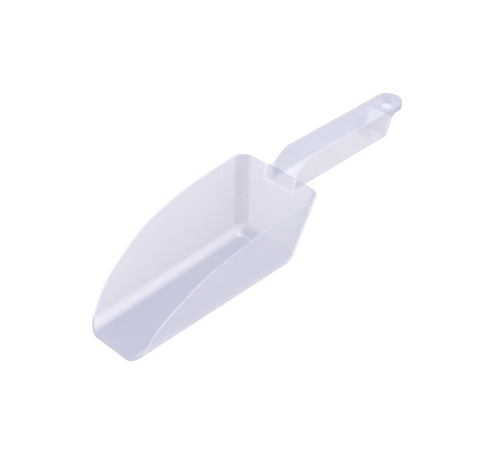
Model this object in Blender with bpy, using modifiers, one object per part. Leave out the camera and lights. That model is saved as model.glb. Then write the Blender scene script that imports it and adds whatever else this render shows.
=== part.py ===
"""Feed scoop: an open-fronted bowl with a hollow, downward-facing channel handle on its back wall.

Metres, +Z up. X is the width, the mouth faces -Y and the handle points to +Y.
The origin is under the middle of the scoop's length and width, level with the bowl's flat underside.
"""

import math

import bmesh
import bpy
from mathutils import Vector

# Bowl, outer sizes
BOWL_LENGTH = 0.2000        # from the mouth's lip to the back of the rim
BOWL_HEIGHT = 0.0731        # from the underside to the rim at the back
FLOOR_FRONT_HALF = 0.0302   # half of the floor's width at the lip, before its edges are rounded
FLOOR_BACK_HALF = 0.0343    # the same at the back wall
SIDE_DRAFT = 0.0132         # how far a side wall leans out over the bowl's height
BACK_LEAN = 0.0165          # how far the back wall leans out over the bowl's height
BOWL_WALL = 0.0021
FLOOR_FILLET = 0.0117       # width of the rounding between the floor and the walls
CORNER_FILLET = 0.0125      # width of the rounding between the side walls and the back wall

# The rim seen from the side: how far back it is, how high it is, and how steep it is there,
# with the first two as shares of the bowl's length and height.
RIM_KNOTS = (
    (0.0, 0.0, 40.0),
    (0.107, 0.360, 48.0),
    (0.300, 0.715, 29.0),
    (0.560, 0.924, 10.5),
    (1.0, 1.0, 1.5),
)

# Handle, outer sizes
HANDLE_REACH = 0.1594       # from the back of the rim to the end of the handle
ROOT_HALF = 0.0139          # half of the handle's width at the bowl
TIP_HALF = 0.0132           # the same where the rounded end begins
RAMP_LENGTH = 0.0185        # the top rises over this length behind the rim
RAMP_RISE = 0.0122
TOP_DROOP = 1.26            # degrees, the slope of the top behind the ramp
SKIRT_DROP_ROOT = 0.0140    # how far the skirt's lower edge is below the rim, at the bowl
SKIRT_DROP_REAR = 0.0177    # the same at the rear wall
SKIRT_SETBACK = 0.0290      # from the end of the handle forward to the rear wall's lower edge
REAR_LEAN = 0.0068          # how far the rear wall leans back on its way up
TAB_DEPTH = 0.0067          # height of the hanging end's edge
REAR_FILLET = 0.0080        # hollow rounding between the rear wall and the hanging end
FOOT_ROUND = 0.0050         # rounding between the skirts' lower edge and the rear wall
EDGE_ROUND = 0.0016         # rounding of the handle's other outer edges
EDGE_STEPS = 3              # segments in it
EDGE_SHARPER = 50           # degrees, the least turn at an edge that is rounded
HANDLE_TOP = 0.0024         # thickness of the handle's top
HANDLE_WALL = 0.0021        # thickness of its skirts and its rear wall
RIB_SETBACK = 0.0204        # from the rear wall's lower edge forward to the cross rib inside the handle
RIB_WALL = 0.0020
RIB_RECESS = 0.0040         # how far the rib stops short of the skirts' lower edge
HANG_HOLE_RADIUS = 0.0045
HANG_HOLE_SETBACK = 0.0154  # from the end of the handle forward to the middle of the hanging hole

# Mounting pad, which joins the handle to the bowl's back wall
PAD_LEDGE = 0.0031          # how far it reaches out past each side of the handle
PAD_DEPTH = 0.0120          # how far it reaches down from the rim
PAD_THICKNESS = 0.0028
PAD_CHAMFER = 0.0030        # the cut across each lower corner
WELD_GAP = 0.0003           # between the pad and the back wall
ROOT_STEP = 0.0004          # small step between the channel's faces and the pad's, on every side

ARC_STEPS = 8               # segments in a rounded edge
CURVE_STEPS = 8             # segments between two rim knots
ROUND_STEPS = 32            # sides of the hanging hole
OVERRUN = 0.01              # how far a cutter runs past what it cuts
MERGE_WITHIN = 0.00001      # points nearer than this are one point
FACING = 0.9                # least share of a face's normal along the way that it faces
SHADE_SHARP = 35            # degrees, the least turn that is shaded as an edge

# Finish: colour, then roughness
BOWL_COLOUR = (0.62, 0.63, 0.80)
BOWL_ROUGHNESS = 0.12
HANDLE_COLOUR = (0.60, 0.61, 0.79)
HANDLE_ROUGHNESS = 0.14

MIDDLE = (BOWL_LENGTH + HANDLE_REACH) / 2
HANDLE_END = BOWL_LENGTH + HANDLE_REACH
SKIRT_END = HANDLE_END - SKIRT_SETBACK
PAD_HALF = ROOT_HALF + PAD_LEDGE
PARTS = "feed_scoop"
CUTTERS = "cutters"


def clear_scene():
    for obj in list(bpy.data.objects):
        bpy.data.objects.remove(obj, do_unlink=True)


def new_collection(name):
    collection = bpy.data.collections.new(name)
    bpy.context.scene.collection.children.link(collection)
    return collection


def add_mesh_object(name, mesh, collection):
    obj = bpy.data.objects.new(name, mesh)
    collection.objects.link(obj)
    return obj


def hide_cutter(obj):
    obj.hide_render = True
    obj.display_type = "WIRE"


def add_material(obj, name, colour, roughness):
    material = bpy.data.materials.new(name)
    material.use_nodes = True
    shader = material.node_tree.nodes["Principled BSDF"]
    shader.inputs["Base Color"].default_value = (*colour, 1.0)
    shader.inputs["Roughness"].default_value = roughness
    shader.inputs["Metallic"].default_value = 0.0
    obj.data.materials.clear()
    obj.data.materials.append(material)


def shade_round(obj):
    obj.data.shade_smooth()
    obj.data.set_sharp_from_angle(angle=math.radians(SHADE_SHARP))


def extruded_outline(name, outline, depth, collection):
    """A closed outline in the curve's own XY plane, filled and extruded to depth, as a welded mesh."""
    curve = bpy.data.curves.new(name, "CURVE")
    curve.dimensions = "2D"
    curve.fill_mode = "BOTH"
    curve.extrude = depth / 2
    spline = curve.splines.new("POLY")
    spline.points.add(len(outline) - 1)
    for point, (across, up) in zip(spline.points, outline):
        point.co = (across, up, 0, 1)
    spline.use_cyclic_u = True
    source = bpy.data.objects.new(name + "_curve", curve)
    collection.objects.link(source)
    bpy.context.view_layer.update()
    evaluated = source.evaluated_get(bpy.context.evaluated_depsgraph_get())
    mesh = bpy.data.meshes.new_from_object(evaluated)
    bpy.data.objects.remove(source)
    bm = bmesh.new()
    bm.from_mesh(mesh)
    bmesh.ops.remove_doubles(bm, verts=bm.verts, dist=MERGE_WITHIN)
    bmesh.ops.recalc_face_normals(bm, faces=bm.faces)
    bm.to_mesh(mesh)
    bm.free()
    return add_mesh_object(name, mesh, collection)


def side_prism(name, outline, width, collection):
    """An outline given as (y, z), extruded along X across the middle plane."""
    prism = extruded_outline(name, outline, width, collection)
    prism.rotation_euler = (math.pi / 2, 0, math.pi / 2)
    return prism


def plan_prism(name, outline, low, high, collection):
    """An outline given as (x, y), extruded from one height to another."""
    prism = extruded_outline(name, outline, high - low, collection)
    prism.location.z = (low + high) / 2
    return prism


def boolean(obj, operation, other):
    modifier = obj.modifiers.new(other.name, "BOOLEAN")
    modifier.operation = operation
    modifier.solver = "EXACT"
    modifier.object = other
    hide_cutter(other)


def arc(centre, radius, start, end, steps=ARC_STEPS):
    """Points of an arc, with its angles in degrees."""
    points = []
    for step in range(steps + 1):
        angle = math.radians(start + (end - start) * step / steps)
        points.append((centre[0] + radius * math.cos(angle), centre[1] + radius * math.sin(angle)))
    return points


# Positions along the scoop, with y measured from the lip of the mouth


def place(y):
    return y - MIDDLE


def floor_half(y):
    floor_length = BOWL_LENGTH - BACK_LEAN
    return FLOOR_FRONT_HALF + (FLOOR_BACK_HALF - FLOOR_FRONT_HALF) * y / floor_length


def back_wall(z):
    """How far back the outer face of the back wall is, at a height."""
    return BOWL_LENGTH - BACK_LEAN * (1 - z / BOWL_HEIGHT)


def ramp_end():
    return BOWL_LENGTH + RAMP_LENGTH


def handle_top(y):
    """Height of the handle's top face behind its ramp."""
    return BOWL_HEIGHT + RAMP_RISE - (y - ramp_end()) * math.tan(math.radians(TOP_DROOP))


def handle_half(y):
    straight = HANDLE_REACH - TIP_HALF
    return ROOT_HALF + (TIP_HALF - ROOT_HALF) * (y - BOWL_LENGTH) / straight


def skirt_slope():
    """Slope of the skirts' lower edge, in degrees."""
    return math.degrees(math.atan2(SKIRT_DROP_ROOT - SKIRT_DROP_REAR, SKIRT_END - BOWL_LENGTH))


def skirt_bottom(y):
    share = (y - BOWL_LENGTH) / (SKIRT_END - BOWL_LENGTH)
    drop = SKIRT_DROP_ROOT + (SKIRT_DROP_REAR - SKIRT_DROP_ROOT) * share
    return BOWL_HEIGHT - drop


# Bowl


def rim_line():
    """Points of the rim seen from the side, as (y, z): a smooth curve through its knots."""
    knots = [(BOWL_LENGTH * back, BOWL_HEIGHT * up, math.radians(steep)) for back, up, steep in RIM_KNOTS]
    points = [knots[0][:2]]
    for (y0, z0, steep0), (y1, z1, steep1) in zip(knots, knots[1:]):
        reach = math.hypot(y1 - y0, z1 - z0) / 3
        ends = (Vector((y0, z0)), Vector((y1, z1)))
        leave = ends[0] + reach * Vector((math.cos(steep0), math.sin(steep0)))
        arrive = ends[1] - reach * Vector((math.cos(steep1), math.sin(steep1)))
        for step in range(1, CURVE_STEPS + 1):
            t = step / CURVE_STEPS
            point = (
                (1 - t) ** 3 * ends[0]
                + 3 * t * (1 - t) ** 2 * leave
                + 3 * t**2 * (1 - t) * arrive
                + t**3 * ends[1]
            )
            points.append((point.x, point.y))
    return points


def bowl_shell(collection):
    """The bowl's outer skin, open at the top and front, rounded, with its wall, and taller than the rim."""
    bm = bmesh.new()
    bmesh.ops.create_cube(bm, size=1)
    top = BOWL_HEIGHT + OVERRUN
    for vert in bm.verts:
        at_back = vert.co.y > 0
        z = top if vert.co.z > 0 else 0
        y = back_wall(z) if at_back else -OVERRUN
        half = floor_half(back_wall(0) if at_back else y) + SIDE_DRAFT * z / BOWL_HEIGHT
        vert.co = (math.copysign(half, vert.co.x), place(y), z)
    bm.normal_update()
    open_faces = [face for face in bm.faces if face.normal.z > FACING or face.normal.y < -FACING]
    bmesh.ops.delete(bm, geom=open_faces, context="FACES_ONLY")
    loose = [edge for edge in bm.edges if not edge.link_faces]
    bmesh.ops.delete(bm, geom=loose, context="EDGES")
    widest = max(FLOOR_FILLET, CORNER_FILLET)
    weights = bm.edges.layers.float.new("bevel_weight_edge")
    for edge in bm.edges:
        if len(edge.link_faces) < 2:
            continue
        upright = abs(edge.verts[0].co.z - edge.verts[1].co.z) > BOWL_HEIGHT / 2
        edge[weights] = (CORNER_FILLET if upright else FLOOR_FILLET) / widest
    mesh = bpy.data.meshes.new("bowl")
    bm.to_mesh(mesh)
    bm.free()
    bowl = add_mesh_object("bowl", mesh, collection)
    bevel = bowl.modifiers.new("rounded edges", "BEVEL")
    bevel.limit_method = "WEIGHT"
    bevel.width = widest
    bevel.segments = ARC_STEPS
    solidify = bowl.modifiers.new("wall", "SOLIDIFY")
    solidify.thickness = BOWL_WALL
    solidify.offset = -1
    solidify.use_even_offset = True
    return bowl


def build_bowl(parts, cutters):
    bowl = bowl_shell(parts)
    above_rim = [(place(y), z) for y, z in rim_line()]
    lip_y, lip_z = above_rim[0]
    steep = math.radians(RIM_KNOTS[0][2])
    above_rim.insert(0, (lip_y - OVERRUN / math.tan(steep), lip_z - OVERRUN))
    above_rim.append((place(BOWL_LENGTH + OVERRUN), BOWL_HEIGHT))
    above_rim.append((place(BOWL_LENGTH + OVERRUN), BOWL_HEIGHT + 3 * OVERRUN))
    above_rim.append((place(-3 * OVERRUN), BOWL_HEIGHT + 3 * OVERRUN))
    above_rim.append((place(-3 * OVERRUN), -OVERRUN))
    width = 2 * (FLOOR_BACK_HALF + SIDE_DRAFT) + 4 * OVERRUN
    boolean(bowl, "DIFFERENCE", side_prism("above the rim", above_rim, width, cutters))
    add_material(bowl, "bowl", BOWL_COLOUR, BOWL_ROUGHNESS)
    shade_round(bowl)
    return bowl


# Handle


def rear_wall():
    """Foot and head of the rear wall's outer face seen from the side, and its direction upwards."""
    foot = Vector((SKIRT_END, skirt_bottom(SKIRT_END)))
    head = Vector((foot.x + REAR_LEAN, handle_top(HANDLE_END) - TAB_DEPTH))
    return foot, head, (head - foot).normalized()


def handle_side_outline():
    """Outer outline of the handle seen from the side, without the pad."""
    foot, head, along = rear_wall()
    lean = math.degrees(math.atan2(along.y, along.x))
    start = head - along * REAR_FILLET * math.tan(math.radians(lean) / 2)
    centre = start + REAR_FILLET * Vector((along.y, -along.x))
    hollow = arc(centre, REAR_FILLET, lean + 90, 90)
    slope = skirt_slope()
    turn = lean - slope
    leave = foot + along * FOOT_ROUND * math.tan(math.radians(turn) / 2)
    foot_centre = leave + FOOT_ROUND * Vector((-along.y, along.x))
    rounded_foot = arc(foot_centre, FOOT_ROUND, slope - 90, lean - 90)
    root_low = skirt_bottom(BOWL_LENGTH)
    root_gap = WELD_GAP + ROOT_STEP
    root_high = BOWL_HEIGHT + ROOT_STEP
    outline = [
        (back_wall(root_high) + root_gap, root_high),
        (back_wall(root_low) + root_gap, root_low),
        *rounded_foot,
        *hollow,
        (HANDLE_END + OVERRUN, head.y),
        (HANDLE_END + OVERRUN, handle_top(HANDLE_END + OVERRUN)),
        (ramp_end(), handle_top(ramp_end())),
    ]
    return [(place(y), z) for y, z in outline]


def handle_plan_outline(inset=0.0):
    """Outline of the handle seen from above, with its rounded end, moved in by inset."""
    root_y = BOWL_LENGTH - BACK_LEAN
    end_y = HANDLE_END - TIP_HALF
    end = arc((0, place(end_y)), TIP_HALF - inset, 0, 180, 4 * ARC_STEPS)
    half = handle_half(root_y) - inset
    return [(-half, place(root_y)), (half, place(root_y)), *end]


def cavity_outline():
    """Inside of the channel seen from the side. It goes round the cross rib."""
    outer_foot, _, along = rear_wall()
    foot = outer_foot + HANDLE_WALL * Vector((-along.y, along.x))
    below = min(foot.y, skirt_bottom(BOWL_LENGTH)) - OVERRUN
    wall_behind = WELD_GAP + PAD_THICKNESS + ROOT_STEP
    low_foot = foot - along * ((foot.y - below) / along.y)
    rib_front = SKIRT_END - RIB_SETBACK - RIB_WALL / 2
    rib_rear = rib_front + RIB_WALL
    ceiling = handle_top(ramp_end()) - HANDLE_TOP
    root_ceiling = BOWL_HEIGHT - HANDLE_TOP

    def under_top(y):
        return handle_top(y) - HANDLE_TOP

    rear_ceiling_y = foot.x + along.x * (under_top(foot.x) - foot.y) / along.y
    outline = [
        (back_wall(root_ceiling) + wall_behind, root_ceiling),
        (back_wall(below) + wall_behind, below),
        (low_foot.x, below),
        (rear_ceiling_y, under_top(rear_ceiling_y)),
        (rib_rear, under_top(rib_rear)),
        (rib_rear, skirt_bottom(rib_rear) + RIB_RECESS),
        (rib_front, skirt_bottom(rib_front) + RIB_RECESS),
        (rib_front, under_top(rib_front)),
        (ramp_end(), ceiling),
    ]
    return [(place(y), z) for y, z in outline]


def pad_outline():
    """The pad seen from behind, as (x, distance down from the rim)."""
    return [
        (-PAD_HALF, 0),
        (-PAD_HALF, PAD_DEPTH - PAD_CHAMFER),
        (-PAD_HALF + PAD_CHAMFER, PAD_DEPTH),
        (PAD_HALF - PAD_CHAMFER, PAD_DEPTH),
        (PAD_HALF, PAD_DEPTH - PAD_CHAMFER),
        (PAD_HALF, 0),
    ]


def build_pad(cutters):
    """A flat plate lying along the leaning back wall, cut level with the rim."""
    low = BOWL_HEIGHT - PAD_DEPTH - OVERRUN
    outline = [
        (back_wall(BOWL_HEIGHT) + WELD_GAP, BOWL_HEIGHT),
        (back_wall(low) + WELD_GAP, low),
        (back_wall(low) + WELD_GAP + PAD_THICKNESS, low),
        (back_wall(BOWL_HEIGHT) + WELD_GAP + PAD_THICKNESS, BOWL_HEIGHT),
    ]
    placed = [(place(y), z) for y, z in outline]
    pad = side_prism("pad", placed, 2 * PAD_HALF + OVERRUN, cutters)
    face = [(x, BOWL_HEIGHT - down) for x, down in pad_outline()]
    face[0] = (face[0][0], BOWL_HEIGHT + OVERRUN)
    face[-1] = (face[-1][0], BOWL_HEIGHT + OVERRUN)
    trim = extruded_outline("pad face", face, 6 * OVERRUN, cutters)
    trim.rotation_euler = (math.pi / 2, 0, 0)
    trim.location.y = place(BOWL_LENGTH)
    boolean(pad, "INTERSECT", trim)
    return pad


def build_handle(parts, cutters):
    low = BOWL_HEIGHT - SKIRT_DROP_REAR - 3 * OVERRUN
    high = BOWL_HEIGHT + RAMP_RISE + OVERRUN
    handle = side_prism("handle", handle_side_outline(), 2 * ROOT_HALF + 2 * OVERRUN, parts)
    boolean(handle, "INTERSECT", plan_prism("handle plan", handle_plan_outline(), low, high, cutters))
    edges = handle.modifiers.new("rounded edges", "BEVEL")
    edges.limit_method = "ANGLE"
    edges.angle_limit = math.radians(EDGE_SHARPER)
    edges.width = EDGE_ROUND
    edges.segments = EDGE_STEPS
    boolean(handle, "UNION", build_pad(cutters))
    inner_plan = handle_plan_outline(HANDLE_WALL)
    channel = side_prism("channel", cavity_outline(), 2 * ROOT_HALF + 2 * OVERRUN, cutters)
    boolean(channel, "INTERSECT", plan_prism("channel plan", inner_plan, low, high, cutters))
    boolean(handle, "DIFFERENCE", channel)
    hole_y = HANDLE_END - HANG_HOLE_SETBACK
    bm = bmesh.new()
    bmesh.ops.create_cone(
        bm,
        cap_ends=True,
        segments=ROUND_STEPS,
        radius1=HANG_HOLE_RADIUS,
        radius2=HANG_HOLE_RADIUS,
        depth=2 * TAB_DEPTH + 2 * OVERRUN,
    )
    mesh = bpy.data.meshes.new("hanging hole")
    bm.to_mesh(mesh)
    bm.free()
    hole = add_mesh_object("hanging hole", mesh, cutters)
    hole.location = (0, place(hole_y), handle_top(hole_y))
    boolean(handle, "DIFFERENCE", hole)
    add_material(handle, "handle", HANDLE_COLOUR, HANDLE_ROUGHNESS)
    shade_round(handle)
    return handle


def main():
    clear_scene()
    parts = new_collection(PARTS)
    cutters = new_collection(CUTTERS)
    cutters.hide_render = True
    build_bowl(parts, cutters)
    build_handle(parts, cutters)


main()
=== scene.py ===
import math

import bmesh
import bpy
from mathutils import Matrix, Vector


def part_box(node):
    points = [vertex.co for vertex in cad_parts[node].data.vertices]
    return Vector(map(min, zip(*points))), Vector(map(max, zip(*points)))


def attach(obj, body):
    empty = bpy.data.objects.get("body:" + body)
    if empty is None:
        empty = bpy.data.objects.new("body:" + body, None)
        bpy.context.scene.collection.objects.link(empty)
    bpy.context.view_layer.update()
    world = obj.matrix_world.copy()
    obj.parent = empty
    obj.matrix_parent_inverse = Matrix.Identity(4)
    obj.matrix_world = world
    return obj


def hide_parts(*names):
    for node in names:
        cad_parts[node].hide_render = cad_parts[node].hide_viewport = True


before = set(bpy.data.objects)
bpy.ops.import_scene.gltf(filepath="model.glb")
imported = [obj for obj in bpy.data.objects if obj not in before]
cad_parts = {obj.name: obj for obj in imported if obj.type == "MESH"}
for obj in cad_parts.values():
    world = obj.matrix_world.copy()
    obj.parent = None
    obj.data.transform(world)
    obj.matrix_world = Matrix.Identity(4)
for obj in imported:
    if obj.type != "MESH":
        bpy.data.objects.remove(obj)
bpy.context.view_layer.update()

bowlLow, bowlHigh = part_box("bowl")
lipY = bowlLow.y  # front edge of the mouth
rimY = bowlHigh.y  # back edge of the rim
rimZ = bowlHigh.z  # height of the rim at the back
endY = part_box("handle")[1].y  # end of the handle
print("frame loaded, bowl from", round(lipY, 4), "to", round(rimY, 4), "rim at", round(rimZ, 4))


# small helpers, used for both pieces
nearby = 0.0001  # points closer than this count as the same place
longEdge = 0.01  # a block's edge runs along an axis if it covers this much of it
seedSize = 0.01  # the small plane that an outline grows from


def freshStart():
    if bpy.context.mode != "OBJECT":
        bpy.ops.object.mode_set(mode="OBJECT")
    bpy.ops.object.select_all(action="DESELECT")


def only(obj):
    freshStart()
    obj.select_set(True)
    bpy.context.view_layer.objects.active = obj


def pick(obj, test, kind="VERT"):
    # goes into edit mode with just the points, edges or faces that pass the test
    only(obj)
    bpy.ops.object.mode_set(mode="EDIT")
    bpy.ops.mesh.select_mode(type=kind)
    bpy.ops.mesh.select_all(action="DESELECT")
    mesh = bmesh.from_edit_mesh(obj.data)
    items = {"VERT": mesh.verts, "EDGE": mesh.edges, "FACE": mesh.faces}[kind]
    mesh.normal_update()
    for item in items:
        if test(item):
            item.select_set(True)
    mesh.select_flush_mode()
    bmesh.update_edit_mesh(obj.data)


def shift(obj, test, offset):
    pick(obj, test)
    bpy.ops.transform.translate(value=offset)
    bpy.ops.object.mode_set(mode="OBJECT")


def moveCorner(obj, start, place):
    shift(obj, lambda v: (v.co - Vector(start)).length < nearby, Vector(place) - Vector(start))


def runsAlong(edge, axis):
    return abs(edge.verts[0].co["xyz".index(axis)] - edge.verts[1].co["xyz".index(axis)]) > longEdge


def applyAll(obj):
    only(obj)
    for modifier in list(obj.modifiers):
        bpy.ops.object.modifier_apply(modifier=modifier.name)


def settle(obj):
    # leaves the object at the origin, unturned and unscaled
    only(obj)
    bpy.ops.object.transform_apply(location=True, rotation=True, scale=True)


def addBlock(name, low, high):
    freshStart()
    middle = (Vector(low) + Vector(high)) / 2
    bpy.ops.mesh.primitive_cube_add(size=1, location=middle)
    block = bpy.context.object
    block.name = name
    block.scale = Vector(high) - Vector(low)
    settle(block)
    return block


def drawOutline(name, points, halfWidth):
    # one corner, pulled along the outline point by point, filled and pulled sideways
    freshStart()
    bpy.ops.mesh.primitive_plane_add(size=seedSize, location=(-halfWidth, *points[0]))
    sheet = bpy.context.object
    sheet.name = name
    bpy.ops.object.mode_set(mode="EDIT")
    bpy.ops.mesh.select_mode(type="VERT")
    bpy.ops.mesh.select_all(action="SELECT")
    bpy.ops.mesh.merge(type="CENTER")
    for before, after in zip(points, points[1:]):
        offset = (0, after[0] - before[0], after[1] - before[1])
        bpy.ops.mesh.extrude_vertices_move(TRANSFORM_OT_translate={"value": offset})
    bpy.ops.mesh.select_all(action="SELECT")
    bpy.ops.mesh.edge_face_add()
    bpy.ops.mesh.extrude_region_move(TRANSFORM_OT_translate={"value": (2 * halfWidth, 0, 0)})
    bpy.ops.mesh.select_all(action="SELECT")
    bpy.ops.mesh.normals_make_consistent(inside=False)
    settle(sheet)
    return sheet


def cut(obj, tool, operation="DIFFERENCE"):
    only(obj)
    modifier = obj.modifiers.new("cut", "BOOLEAN")
    modifier.operation = operation
    modifier.solver = "EXACT"
    modifier.object = tool
    bpy.ops.object.modifier_apply(modifier="cut")
    bpy.data.objects.remove(tool, do_unlink=True)


def roundEdges(obj, width, steps, sharperThan):
    only(obj)
    bevel = obj.modifiers.new("edges", "BEVEL")
    bevel.limit_method = "ANGLE"
    bevel.angle_limit = math.radians(sharperThan)
    bevel.width = width
    bevel.segments = steps
    applyAll(obj)


def shadeEvenly(obj, smoothBelow):
    only(obj)
    bpy.ops.object.shade_smooth_by_angle(angle=math.radians(smoothBelow))
    even = obj.modifiers.new("even shading", "WEIGHTED_NORMAL")
    even.keep_sharp = True
    applyAll(obj)


def arcPoints(centre, radius, start, end, steps):
    points = []
    for step in range(steps + 1):
        angle = start + (end - start) * step / steps
        points.append((centre[0] + radius * math.cos(angle), centre[1] + radius * math.sin(angle)))
    return points


# the bowl: an open box with leaning walls, its rim swept down to the lip
bowl = dict(
    wall=0.0021,
    floorFrontHalf=0.0302,
    floorBackHalf=0.0343,
    sideDraft=0.0132,  # how far each side leans out by the rim
    backLean=0.0165,
    floorFillet=0.0117,
    cornerFillet=0.0125,
    filletSteps=14,
    openFacing=0.9,  # faces turned this far up or forward are the opening
    edgeRound=0.0006,
    edgeSteps=3,
    edgeSharper=35,
    smoothBelow=40,
    # along the bowl, up its height, and the slope there in degrees
    rimKnots=[(0, 0, 40), (0.107, 0.36, 48), (0.3, 0.715, 29), (0.56, 0.924, 10.5), (1, 1, 1.5)],
    rimSteps=16,
    blankHalf=0.05,
    spare=0.01,  # blank beyond the finished edges
)


def backWallY(z):
    return rimY - bowl["backLean"] * (1 - z / rimZ)


def bowlHalf(y, z):
    share = (y - lipY) / (rimY - lipY - bowl["backLean"])
    floorHalf = bowl["floorFrontHalf"] + (bowl["floorBackHalf"] - bowl["floorFrontHalf"]) * share
    return floorHalf + bowl["sideDraft"] * z / rimZ


def rimPoints():
    knots = []
    for along, up, slope in bowl["rimKnots"]:
        knots.append((Vector((lipY + along * (rimY - lipY), up * rimZ)), math.radians(slope)))
    points = []
    for (p0, s0), (p1, s1) in zip(knots, knots[1:]):
        reach = (p1 - p0).length / 3
        h0 = p0 + reach * Vector((math.cos(s0), math.sin(s0)))
        h1 = p1 - reach * Vector((math.cos(s1), math.sin(s1)))
        for step in range(bowl["rimSteps"]):
            t = step / bowl["rimSteps"]
            point = (1 - t) ** 3 * p0 + 3 * t * (1 - t) ** 2 * h0
            point = point + 3 * t * t * (1 - t) * h1 + t**3 * p1
            points.append(tuple(point))
    points.append(tuple(knots[-1][0]))
    return points


def isFold(edge, low):
    # between two faces, either low down or upright
    height = edge.verts[0].co.z + edge.verts[1].co.z
    return len(edge.link_faces) == 2 and (height < nearby) == low


def makeBowl():
    spare = bowl["spare"]
    front, top, side = lipY - spare, rimZ + spare, bowl["blankHalf"]
    shell = addBlock("bowlShell", (-side, front, 0), (side, rimY, top))
    # each corner to its place, for the draft of the sides and the lean of the back
    for sx in (-1, 1):
        for z in (0, top):
            backHalf = bowlHalf(backWallY(0), z)
            moveCorner(shell, (sx * side, front, z), (sx * bowlHalf(front, z), front, z))
            moveCorner(shell, (sx * side, rimY, z), (sx * backHalf, backWallY(z), z))
    # open at the top and the front
    pick(shell, lambda f: max(f.normal.z, -f.normal.y) > bowl["openFacing"], "FACE")
    bpy.ops.mesh.delete(type="FACE")
    # corners rounded by weight, since the upright ones have their own width
    widest = max(bowl["floorFillet"], bowl["cornerFillet"])
    pick(shell, lambda e: isFold(e, True), "EDGE")
    bpy.ops.transform.edge_bevelweight(value=bowl["floorFillet"] / widest)
    pick(shell, lambda e: isFold(e, False), "EDGE")
    bpy.ops.transform.edge_bevelweight(value=bowl["cornerFillet"] / widest)
    only(shell)
    corners = shell.modifiers.new("corners", "BEVEL")
    corners.limit_method = "WEIGHT"
    corners.width = widest
    corners.segments = bowl["filletSteps"]
    wall = shell.modifiers.new("wall", "SOLIDIFY")
    wall.thickness = bowl["wall"]
    wall.offset = -1
    wall.use_even_offset = True
    applyAll(shell)
    # everything above the rim line cut away
    slope = math.radians(bowl["rimKnots"][0][2])
    below = 0.5 * spare
    above = [(lipY - below / math.tan(slope), -below)] + rimPoints()
    above += [(rimY + spare, rimZ), (rimY + spare, rimZ + 3 * spare)]
    above += [(front - spare, rimZ + 3 * spare), (front - spare, -below)]
    cut(shell, drawOutline("aboveRim", above, 2 * side))
    roundEdges(shell, bowl["edgeRound"], bowl["edgeSteps"], bowl["edgeSharper"])
    shadeEvenly(shell, bowl["smoothBelow"])
    return shell


# the handle: a ramp and a grip open underneath, a pad at its root, a flat hanging end
handle = dict(
    rootHalf=0.0139,
    tipHalf=0.0132,
    rampLength=0.0185,
    rampRise=0.0122,
    bendRound=0.016,
    droop=1.26,  # degrees that the grip falls towards its end
    dropRoot=0.0140,
    dropRear=0.0177,
    skirtSetback=0.0290,
    rearLean=0.0068,
    tabDepth=0.0067,
    rearFillet=0.0080,
    footRound=0.0050,
    arcSteps=12,
    endSteps=20,
    endFlat=0.0003,  # left flat between the two halves of the round end
    mergeWithin=0.00002,
    top=0.0024,
    wall=0.0021,
    ribSetback=0.0204,
    ribWall=0.0020,
    ribRecess=0.0040,
    holeRadius=0.0045,
    holeSetback=0.0154,
    holeSides=48,
    holeTool=0.04,  # length of the round bar that cuts the hole
    holeRound=0.0008,
    holeSteps=4,
    holeSharper=1.0,
    topRound=0.0022,
    topSteps=7,
    topFrom=0.003,  # the top's rounding starts this far behind the rim
    sideUp=0.3,  # a side faces up less than this, the top more than topUp
    topUp=0.7,
    edgeRound=0.0012,
    edgeSteps=4,
    edgeSharper=50,
    smoothBelow=30,
    padLedge=0.0031,
    padDepth=0.0120,
    padThickness=0.0028,
    padChamfer=0.0030,
    padSteps=4,
    padRound=0.0009,
    padRoundSteps=3,
    weldGap=0.0003,
    rootStep=0.0004,
    insideNear=0.0003,  # slack when faces are told apart
    blankBelow=0.04,
    blankAbove=0.03,
    blankHalf=0.03,
    spare=0.01,
)


def topZ(y):
    fall = math.tan(math.radians(handle["droop"]))
    return rimZ + handle["rampRise"] - (y - rimY - handle["rampLength"]) * fall


def skirtZ(y):
    share = (y - rimY) / (endY - handle["skirtSetback"] - rimY)
    return rimZ - handle["dropRoot"] - (handle["dropRear"] - handle["dropRoot"]) * share


def planBlock(name, inset, low, high):
    # the handle as seen from above, with its round end, as an upright block
    root = rimY - bowl["backLean"]
    half = handle["rootHalf"] - inset
    block = addBlock(name, (-half, root, low), (half, endY - inset, high))
    squeeze = handle["rootHalf"] - handle["tipHalf"]

    def atEnd(vert):
        return vert.co.y > root + handle["spare"]

    for sx in (-1, 1):
        shift(block, lambda v, sx=sx: atEnd(v) and v.co.x * sx > 0, (-sx * squeeze, 0, 0))
    pick(block, lambda e: all(atEnd(v) for v in e.verts) and runsAlong(e, "z"), "EDGE")
    endRound = handle["tipHalf"] - inset - handle["endFlat"]
    bpy.ops.mesh.bevel(offset=endRound, segments=handle["endSteps"], affect="EDGES")
    bpy.ops.object.mode_set(mode="OBJECT")
    return block


def bendPoints(root, drop):
    # the top line where the ramp turns into the grip, from the grip back to the ramp
    bend = Vector((rimY + handle["rampLength"], topZ(rimY + handle["rampLength"]) - drop))
    ramp = (bend - Vector(root)).normalized()
    grip = Vector((1, -math.tan(math.radians(handle["droop"])))).normalized()
    turn = math.acos(ramp.dot(grip))
    reach = handle["bendRound"] * math.tan(turn / 2)
    leave, meet = bend + grip * reach, bend - ramp * reach
    points = []
    for step in range(handle["arcSteps"] + 1):
        t = step / handle["arcSteps"]
        points.append(tuple((1 - t) ** 2 * leave + 2 * t * (1 - t) * bend + t * t * meet))
    return points


def topEdge(edge):
    # an edge between the top and a side or the round end
    if len(edge.link_faces) != 2 or max(v.co.y for v in edge.verts) < rimY + handle["topFrom"]:
        return False
    ups = sorted(face.normal.z for face in edge.link_faces)
    return ups[0] < handle["sideUp"] and ups[1] > handle["topUp"]


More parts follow.
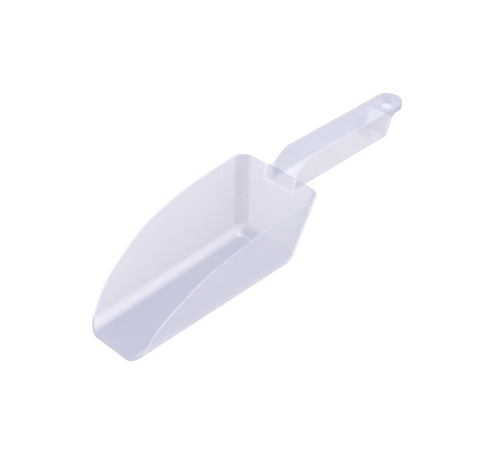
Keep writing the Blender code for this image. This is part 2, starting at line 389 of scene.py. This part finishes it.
def makeHandle():
    spare, wide = handle["spare"], handle["blankHalf"]
    low, high = rimZ - handle["blankBelow"], rimZ + handle["blankAbove"]
    steps = handle["arcSteps"]
    # side view of the outside: foot of the rear wall, its hollow curve, and the top
    footY = endY - handle["skirtSetback"]
    foot = Vector((footY, skirtZ(footY)))
    tabZ = topZ(endY) - handle["tabDepth"]
    head = Vector((foot.x + handle["rearLean"], tabZ))
    rise = (head - foot).normalized()
    lean = math.atan2(rise.y, rise.x)
    start = head - rise * handle["rearFillet"] * math.tan(lean / 2)
    centre = start + handle["rearFillet"] * Vector((rise.y, -rise.x))
    hollow = arcPoints(centre, handle["rearFillet"], lean + math.pi / 2, math.pi / 2, steps)
    slope = math.atan2(handle["dropRoot"] - handle["dropRear"], foot.x - rimY)
    leave = foot + rise * handle["footRound"] * math.tan((lean - slope) / 2)
    footCentre = leave + handle["footRound"] * Vector((-rise.y, rise.x))
    fromAngle, toAngle = slope - math.pi / 2, lean - math.pi / 2
    roundFoot = arcPoints(footCentre, handle["footRound"], fromAngle, toAngle, steps)
    gap = handle["weldGap"] + handle["rootStep"]
    rootLow = skirtZ(rimY)
    beyond = endY + spare
    side = [(backWallY(rimZ) + gap, rimZ + handle["rootStep"])]
    side += [(backWallY(rootLow) + gap, rootLow)]
    side += roundFoot + hollow
    side += [(beyond, tabZ), (beyond, topZ(beyond))]
    side += bendPoints(side[0], 0)
    body = planBlock("handleShell", 0, low, high)
    cut(body, drawOutline("sideView", side, wide), "INTERSECT")
    pick(body, topEdge, "EDGE")
    bpy.ops.mesh.bevel(offset=handle["topRound"], segments=handle["topSteps"], affect="EDGES")
    roundEdges(body, handle["edgeRound"], handle["edgeSteps"], handle["edgeSharper"])
    # channel under the grip, in two lengths with a rib between them
    inward = Vector((-rise.y, rise.x)) * handle["wall"]
    below = foot.y - spare
    inner = foot + inward
    lowInner = inner - rise * ((inner.y - below) / rise.y)

    def ceiling(y):
        return topZ(y) - handle["top"]

    rearY = inner.x + rise.x * (ceiling(foot.x) - inner.y) / rise.y
    ribRear = foot.x - handle["ribSetback"] + handle["ribWall"] / 2
    ribFront = ribRear - handle["ribWall"]
    behind = handle["weldGap"] + handle["padThickness"] + handle["rootStep"]
    rootCeiling = rimZ - handle["top"]
    channelSide = [
        (backWallY(rootCeiling) + behind, rootCeiling),
        (backWallY(below) + behind, below),
        (lowInner.x, below),
        (rearY, ceiling(rearY)),
        (ribRear, ceiling(ribRear)),
        (ribRear, skirtZ(ribRear) + handle["ribRecess"]),
        (ribFront, skirtZ(ribFront) + handle["ribRecess"]),
        (ribFront, ceiling(ribFront)),
    ]
    channelSide += bendPoints(channelSide[0], handle["top"])
    channel = planBlock("channel", handle["wall"], low - spare, high)
    cut(channel, drawOutline("channelSide", channelSide, wide), "INTERSECT")
    cut(body, channel)
    print("handle shell hollowed", len(body.data.polygons), "faces")
    # pad against the bowl's back wall, its lower corners cut off
    near = handle["weldGap"]
    far = near + handle["padThickness"]
    padLow = rimZ - handle["padDepth"] - spare
    padSide = [(backWallY(rimZ) + near, rimZ), (backWallY(padLow) + near, padLow)]
    padSide += [(backWallY(padLow) + far, padLow), (backWallY(rimZ) + far, rimZ)]
    pad = drawOutline("pad", padSide, wide)
    padHalf = handle["rootHalf"] + handle["padLedge"]
    trimLow = (-padHalf, rimY - wide, rimZ - handle["padDepth"])
    trim = addBlock("padTrim", trimLow, (padHalf, rimY + wide, rimZ + spare))
    pick(trim, lambda e: max(v.co.z for v in e.verts) < rimZ and runsAlong(e, "y"), "EDGE")
    bpy.ops.mesh.bevel(offset=handle["padChamfer"], segments=handle["padSteps"], affect="EDGES")
    cut(pad, trim, "INTERSECT")
    roundEdges(pad, handle["padRound"], handle["padRoundSteps"], handle["edgeSharper"])
    cut(body, pad, "UNION")
    # hanging hole
    freshStart()
    holeY = endY - handle["holeSetback"]
    bpy.ops.mesh.primitive_cylinder_add(
        vertices=handle["holeSides"],
        radius=handle["holeRadius"],
        depth=handle["holeTool"],
        location=(0, holeY, topZ(holeY)),
    )
    hole = bpy.context.object
    settle(hole)
    cut(body, hole)

    def holeEdge(edge):
        radii = [math.hypot(v.co.x, v.co.y - holeY) for v in edge.verts]
        onHole = all(abs(radius - handle["holeRadius"]) < nearby for radius in radii)
        return onHole and edge.calc_face_angle(0) > handle["holeSharper"]

    pick(body, holeEdge, "EDGE")
    bpy.ops.mesh.bevel(offset=handle["holeRound"], segments=handle["holeSteps"], affect="EDGES")
    # points that fell on one another are merged
    pick(body, lambda v: True)
    bpy.ops.mesh.remove_doubles(threshold=handle["mergeWithin"])
    bpy.ops.mesh.dissolve_degenerate(threshold=handle["mergeWithin"] / 2)
    shadeEvenly(body, handle["smoothBelow"])
    return body


def markInside(obj):
    # faces in the channel, in the hole and on the pad let more through
    inside = obj.data.attributes.new("inside", "FLOAT", "FACE")
    near = handle["insideNear"]
    innerHalf = handle["rootHalf"] - handle["wall"] + near
    wallSlope = handle["rampRise"] / handle["rampLength"]
    rearWall = endY - handle["skirtSetback"] + handle["rearLean"]
    holeY = endY - handle["holeSetback"]
    for face in obj.data.polygons:
        x, y, z = face.center
        corners = [obj.data.vertices[i].co for i in face.vertices]
        roof = min(topZ(y), rimZ + (y - rimY) * wallSlope) - handle["top"]
        padBack = backWallY(z) + handle["weldGap"] + handle["padThickness"]
        inChannel = abs(x) < innerHalf and z < roof + 2 * near and y < rearWall
        holeReach = max(math.hypot(v.x, v.y - holeY) for v in corners)
        onPad = y < padBack + near and z < rimZ - 5 * near
        if inChannel or onPad or holeReach < handle["holeRadius"] + near:
            inside.data[face.index].value = 1


# the plastic: one clear lavender plastic, with painted shade where the wall turns or lies flat and
# painted highlights on its fillets, rims and edges
# bands are the two values between which a mask runs from none to all
plastic = dict(
    tint=(0.52, 0.525, 0.635),
    # deeper tint of the thicker plastic at the handle's end, and the colour of the painted shade on
    # the bowl
    deepAndShade=(0.23, 0.235, 0.41),
    handleTint=(0.44, 0.445, 0.55),
    # the colour of the painted highlights and painted light
    highlightPale=(0.74, 0.74, 0.83),
    roughLow=0.14,
    roughHigh=0.24,
    ior=1.5,
    flowScale=22,
    flowDetail=3,
    flowBand=(0.3, 0.7),
    grainScale=900,
    grainDepth=0.00001,
    grainStrength=0.2,
)
bowlTone = dict(
    alpha=0.40,
    turnAlpha=0.35,  # added on the turn under the walls
    lowBand=(0.006, 0.013),  # heights over which the floor's painted shade gives way
    flatBand=(0.90, 0.995),
    floorShadeFront=0.9,
    floorShadeBack=0.75,
    cornerBand=(0.03, 0.34),
    cornerDepthAndShade=0.6,
    backBand=(0.2, 0.5),
    backShade=0.7,
    underBand=(-0.35, -0.05),
    underShade=0.9,
    flowDepth=0.04,
    rimBand=(0.45, 0.7),
    rimShade=0.7,
    outBand=(-0.01, 0.02),
    outsideLight=0.35,
    slantBand=(0.30, 0.55),
    steepBand=(0.80, 0.95),
    upBand=(0.0, 0.3),
    sideBand=(0.25, 0.6),
    sideHighlightShare=0.60,
    weldWidth=0.0018,
    weldCore=0.3,  # share of the width at full strength
    weldHighlight=0.6,
    weldFrom=(-0.012, -0.008),  # measured from the back of the rim
)
handleTone = dict(
    outerAlpha=0.60,
    innerAlpha=0.15,
    rootBand=(-0.002, 0.010),
    rootClear=0.35,
    upBand=(0.3, 0.6),
    flowDepth=0.08,
    endBand=(-0.026, -0.014),
    endDeep=0.35,
    edgeBand=(0.25, 0.45),
    edgeHighlight=0.2,
    topBand=(0.80, 0.98),
    topHighlight=0.15,
)


def plug(tree, source, target):
    # a number goes straight into the socket, an output is linked
    if isinstance(source, (int, float)):
        target.default_value = source
    else:
        tree.links.new(source, target)


def calc(tree, kind, first, second=0.0):
    node = tree.nodes.new("ShaderNodeMath")
    node.operation = kind
    plug(tree, first, node.inputs[0])
    plug(tree, second, node.inputs[1])
    return node.outputs[0]


def times(tree, first, second):
    return calc(tree, "MULTIPLY", first, second)


def most(tree, first, second):
    return calc(tree, "MAXIMUM", first, second)


def size(tree, value):
    return calc(tree, "ABSOLUTE", value)


def ease(tree, value, band, fromValue=0.0, toValue=1.0):
    node = tree.nodes.new("ShaderNodeMapRange")
    node.interpolation_type = "SMOOTHSTEP"
    tree.links.new(value, node.inputs["Value"])
    node.inputs["From Min"].default_value = band[0]
    node.inputs["From Max"].default_value = band[1]
    node.inputs["To Min"].default_value = fromValue
    node.inputs["To Max"].default_value = toValue
    return node.outputs["Result"]


def fromPlace(start, band):
    return (start + band[0], start + band[1])


def blendColours(tree, share, first, second):
    node = tree.nodes.new("ShaderNodeMix")
    node.data_type = "RGBA"
    tree.links.new(share, node.inputs["Factor"])
    for socket, colour in ((node.inputs[6], first), (node.inputs[7], second)):
        if isinstance(colour, tuple):
            socket.default_value = (*colour, 1)
        else:
            tree.links.new(colour, socket)
    return node.outputs[2]


def split(tree, vector):
    node = tree.nodes.new("ShaderNodeSeparateXYZ")
    tree.links.new(vector, node.inputs[0])
    return node.outputs


def clearPlastic(name):
    material = bpy.data.materials.new(name)
    material.use_nodes = True
    tree = material.node_tree
    shader = tree.nodes["Principled BSDF"]
    shader.inputs["IOR"].default_value = plastic["ior"]
    where = tree.nodes.new("ShaderNodeTexCoord")
    # slow flow marks from the moulding, in tone and gloss
    flow = tree.nodes.new("ShaderNodeTexNoise")
    flow.inputs["Scale"].default_value = plastic["flowScale"]
    flow.inputs["Detail"].default_value = plastic["flowDetail"]
    tree.links.new(where.outputs["Object"], flow.inputs["Vector"])
    marks = flow.outputs["Fac"]
    rough = ease(tree, marks, plastic["flowBand"], plastic["roughLow"], plastic["roughHigh"])
    tree.links.new(rough, shader.inputs["Roughness"])
    # fine grain
    grain = tree.nodes.new("ShaderNodeTexNoise")
    grain.inputs["Scale"].default_value = plastic["grainScale"]
    tree.links.new(where.outputs["Object"], grain.inputs["Vector"])
    bump = tree.nodes.new("ShaderNodeBump")
    bump.inputs["Distance"].default_value = plastic["grainDepth"]
    bump.inputs["Strength"].default_value = plastic["grainStrength"]
    tree.links.new(grain.outputs["Fac"], bump.inputs["Height"])
    tree.links.new(bump.outputs["Normal"], shader.inputs["Normal"])
    facing = split(tree, where.outputs["Normal"])
    place = split(tree, where.outputs["Object"])
    return material, tree, shader, facing, place, marks


def weldHighlightLine(tree, place):
    # a painted highlight in a narrow band round the pad's outline, in the back wall only
    padHalf = handle["rootHalf"] + handle["padLedge"]
    sideGap = calc(tree, "SUBTRACT", size(tree, place[0]), padHalf)
    lowGap = calc(tree, "SUBTRACT", rimZ - handle["padDepth"], place[2])
    away = size(tree, most(tree, sideGap, lowGap))
    width = bowlTone["weldWidth"]
    line = ease(tree, away, (bowlTone["weldCore"] * width, width), bowlTone["weldHighlight"], 0.0)
    return times(tree, line, ease(tree, place[1], fromPlace(rimY, bowlTone["weldFrom"])))


def bowlPlastic():
    material, tree, shader, facing, place, marks = clearPlastic("bowlPlastic")
    nx, ny, nz = facing
    level = size(tree, nz)
    low = ease(tree, place[2], bowlTone["lowBand"], 1.0, 0.0)
    notLow = calc(tree, "SUBTRACT", 1, low)
    # painted shade on the floor, in the corners, on the back's turn and under the walls
    flat = times(tree, ease(tree, level, bowlTone["flatBand"]), low)
    along = ease(tree, place[1], (lipY, rimY), bowlTone["floorShadeFront"], bowlTone["floorShadeBack"])
    # the corners: painted shade, partly the deeper tint of the plastic seen through it obliquely
    corner = size(tree, times(tree, nx, ny))
    cornerDepthAndShade = ease(tree, corner, bowlTone["cornerBand"], 0.0, bowlTone["cornerDepthAndShade"])
    backTurnShade = ease(tree, size(tree, ny), bowlTone["backBand"], 0.0, bowlTone["backShade"])
    underWallShade = ease(tree, nz, bowlTone["underBand"], bowlTone["underShade"], 0.0)
    underWallShade = times(tree, underWallShade, low)
    # depth here is painted shade; the flow marks added after it are the plastic's own tone
    depth = most(tree, times(tree, flat, along), cornerDepthAndShade)
    depth = most(tree, depth, times(tree, backTurnShade, low))
    depth = most(tree, depth, underWallShade)
    flow = bowlTone["flowDepth"]
    depth = calc(tree, "ADD", depth, ease(tree, marks, plastic["flowBand"], -flow, flow))
    # the turn under the walls hides more, deepening its painted shade
    hidden = times(tree, underWallShade, calc(tree, "SUBTRACT", 1, flat))
    hidden = times(tree, hidden, bowlTone["turnAlpha"])
    tree.links.new(calc(tree, "ADD", bowlTone["alpha"], hidden), shader.inputs["Alpha"])
    # the rim: painted shade at the back and a painted highlight at the front
    rim = calc(tree, "SUBTRACT", ease(tree, nz, bowlTone["rimBand"]), low)
    rim = most(tree, rim, 0)
    rimShade = times(tree, rim, ease(tree, place[1], (0, rimY), 0.0, bowlTone["rimShade"]))
    rimHighlight = times(tree, rim, ease(tree, place[1], (lipY, (lipY + rimY) / 2), 1.0, 0.0))
    depth = most(tree, depth, rimShade)
    toned = blendColours(tree, depth, plastic["tint"], plastic["deepAndShade"])
    # painted light on the outside, painted highlights on the side fillets and along the weld line
    litOutside = ease(tree, times(tree, nx, place[0]), bowlTone["outBand"], 0.0, bowlTone["outsideLight"])
    toned = blendColours(tree, times(tree, litOutside, notLow), toned, plastic["highlightPale"])
    # painted highlight on the fillets where the floor turns up into the walls
    slant = ease(tree, level, bowlTone["slantBand"])
    slant = times(tree, slant, ease(tree, level, bowlTone["steepBand"], 1.0, 0.0))
    band = times(tree, times(tree, slant, low), ease(tree, nz, bowlTone["upBand"]))
    sideHighlight = ease(tree, size(tree, nx), bowlTone["sideBand"], 0.0, bowlTone["sideHighlightShare"])
    band = most(tree, times(tree, band, sideHighlight), rimHighlight)
    band = most(tree, band, weldHighlightLine(tree, place))
    colour = blendColours(tree, band, toned, plastic["highlightPale"])
    tree.links.new(colour, shader.inputs["Base Color"])
    return material


def handlePlastic():
    material, tree, shader, facing, place, marks = clearPlastic("handlePlastic")
    nx, nz = facing[0], facing[2]
    inside = tree.nodes.new("ShaderNodeAttribute")
    inside.attribute_name = "inside"
    inner = inside.outputs["Fac"]
    # clearer at the root, save on top
    alpha = ease(tree, inner, (0, 1), handleTone["outerAlpha"], handleTone["innerAlpha"])
    rootBand = fromPlace(rimY, handleTone["rootBand"])
    clear = ease(tree, place[1], rootBand, handleTone["rootClear"], 1.0)
    clear = most(tree, clear, ease(tree, nz, handleTone["upBand"]))
    tree.links.new(times(tree, alpha, clear), shader.inputs["Alpha"])
    # deeper at the solid end
    depth = ease(tree, marks, plastic["flowBand"], 0.0, handleTone["flowDepth"])
    endBand = fromPlace(endY, handleTone["endBand"])
    depth = most(tree, depth, ease(tree, place[1], endBand, 0.0, handleTone["endDeep"]))
    toned = blendColours(tree, depth, plastic["handleTint"], plastic["deepAndShade"])
    toned = blendColours(tree, inner, toned, plastic["tint"])
    # painted highlights along the top and its edges
    slant = times(tree, size(tree, nx), nz)
    edges = ease(tree, slant, handleTone["edgeBand"], 0.0, handleTone["edgeHighlight"])
    top = ease(tree, nz, handleTone["topBand"], 0.0, handleTone["topHighlight"])
    colour = blendColours(tree, most(tree, edges, top), toned, plastic["highlightPale"])
    tree.links.new(colour, shader.inputs["Base Color"])
    return material


def finishPiece(obj, node, material):
    obj.data.materials.clear()
    obj.data.materials.append(material)
    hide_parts(node)
    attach(obj, "root")


bowlShell = makeBowl()
print("bowl made", len(bowlShell.data.polygons), "faces")
handleShell = makeHandle()
print("handle made", len(handleShell.data.polygons), "faces")
markInside(handleShell)
finishPiece(bowlShell, "bowl", bowlPlastic())
finishPiece(handleShell, "handle", handlePlastic())
print("plastic on both pieces")


# the studio: a softly glowing white table, a white room and four soft boxes
studio = dict(
    tableSize=6,
    tableDrop=0.0002,
    tableTint=(0.15, 0.15, 0.15, 1),
    tableGlow=0.90,
    roomGlow=1.05,
    boxSize=0.5,
    edgeBox=((0.885, 0.85, 0.80), 3),
    rimBox=((-0.81, -0.35, 1.25), 1.5),
    frontBox=((0.35, -1.1, 0.5), 2.5),
    topBox=((0.1, 0.1, 1.4), 6),
    aim=(0, 0, 0.04),
)

freshStart()
bpy.ops.mesh.primitive_plane_add(size=studio["tableSize"], location=(0, 0, -studio["tableDrop"]))
table = bpy.context.object
table.name = "table"
settle(table)
tableWhite = bpy.data.materials.new("tableWhite")
tableWhite.use_nodes = True
tableShader = tableWhite.node_tree.nodes["Principled BSDF"]
tableShader.inputs["Base Color"].default_value = studio["tableTint"]
tableShader.inputs["Roughness"].default_value = 1
tableShader.inputs["Specular IOR Level"].default_value = 0
tableShader.inputs["Emission Color"].default_value = (1, 1, 1, 1)
tableShader.inputs["Emission Strength"].default_value = studio["tableGlow"]
table.data.materials.append(tableWhite)

world = bpy.data.worlds.new("studio")
world.use_nodes = True
world.node_tree.nodes["Background"].inputs["Color"].default_value = (1, 1, 1, 1)
world.node_tree.nodes["Background"].inputs["Strength"].default_value = studio["roomGlow"]
bpy.context.scene.world = world


def softBox(name, place, power):
    freshStart()
    bpy.ops.object.light_add(type="AREA", location=place)
    lamp = bpy.context.object
    lamp.name = name
    lamp.data.size = studio["boxSize"]
    lamp.data.energy = power
    lamp.rotation_euler = (Vector(place) - Vector(studio["aim"])).to_track_quat("Z", "Y").to_euler()


for lampName in ("edgeBox", "rimBox", "frontBox", "topBox"):
    softBox(lampName, *studio[lampName])
print("studio lit")

view = dict(place=(0.5205, -0.5626, 0.6180), pitch=52.123, turn=44.326, lens=82, film=36)
freshStart()
turned = (math.radians(view["pitch"]), 0, math.radians(view["turn"]))
bpy.ops.object.camera_add(location=view["place"], rotation=turned)
camera = bpy.context.object
camera.data.lens = view["lens"]
camera.data.sensor_width = view["film"]
bpy.context.scene.camera = camera
bpy.context.scene.view_settings.view_transform = "Standard"
